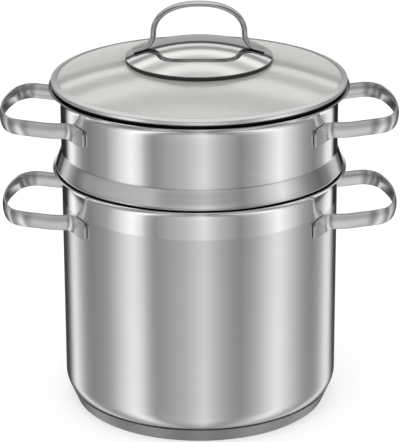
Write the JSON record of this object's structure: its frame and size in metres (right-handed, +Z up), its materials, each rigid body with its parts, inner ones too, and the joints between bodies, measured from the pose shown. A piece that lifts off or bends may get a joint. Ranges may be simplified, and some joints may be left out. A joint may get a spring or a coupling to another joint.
{
  "type": "pasta pot",
  "caption": "Tall steel pot with a perforated draining insert hung in its rim, a domed glass lid, band handles and an encapsulated base.",
  "frame": {"origin": "middle of the flat underside of the base", "axes": "+Z up along the pot's axis; the side handles stand out along +X and -X; the lid handle lies along X"},
  "size_m": [0.3472, 0.2612, 0.363],
  "materials": {
    "pot_steel": "brushed round the body, polished band under the rim",
    "core_aluminium": "rolled",
    "capsule_steel": "turned satin",
    "handle_steel": "fine satin",
    "collar_steel": "polished",
    "basket_steel": "satin",
    "lid_rim_steel": "polished",
    "lid_glass": "clear, tempered",
    "polished_steel": "mirror polished",
    "black_silicone": "matte black",
    "fastener_steel": "plain"
  },
  "bodies": {
    "pot": {"pot_body": "pot_steel", "base_core": "core_aluminium", "base_capsule": "capsule_steel", "pot_handle_left": "handle_steel", "pot_handle_right": "handle_steel"},
    "insert": {"insert_collar": "collar_steel", "insert_basket": "basket_steel", "insert_handle_left": "handle_steel", "insert_handle_right": "handle_steel"},
    "lid": {"lid_rim": "lid_rim_steel", "lid_glass": "lid_glass", "lid_rosette": "polished_steel", "rosette_gasket": "black_silicone", "lid_handle": "polished_steel", "lid_boss": "fastener_steel", "lid_grommet": "black_silicone", "lid_washer": "fastener_steel", "lid_screw": "fastener_steel"}
  },
  "joints": [
    {"name": "insert_lift", "type": "slide", "parent": "pot", "child": "insert", "axis": [0, 0, 1], "range_m": [0, 0.2]},
    {"name": "lid_lift", "type": "slide", "parent": "insert", "child": "lid", "axis": [0, 0, 1], "range_m": [0, 0.1]}
  ]
}
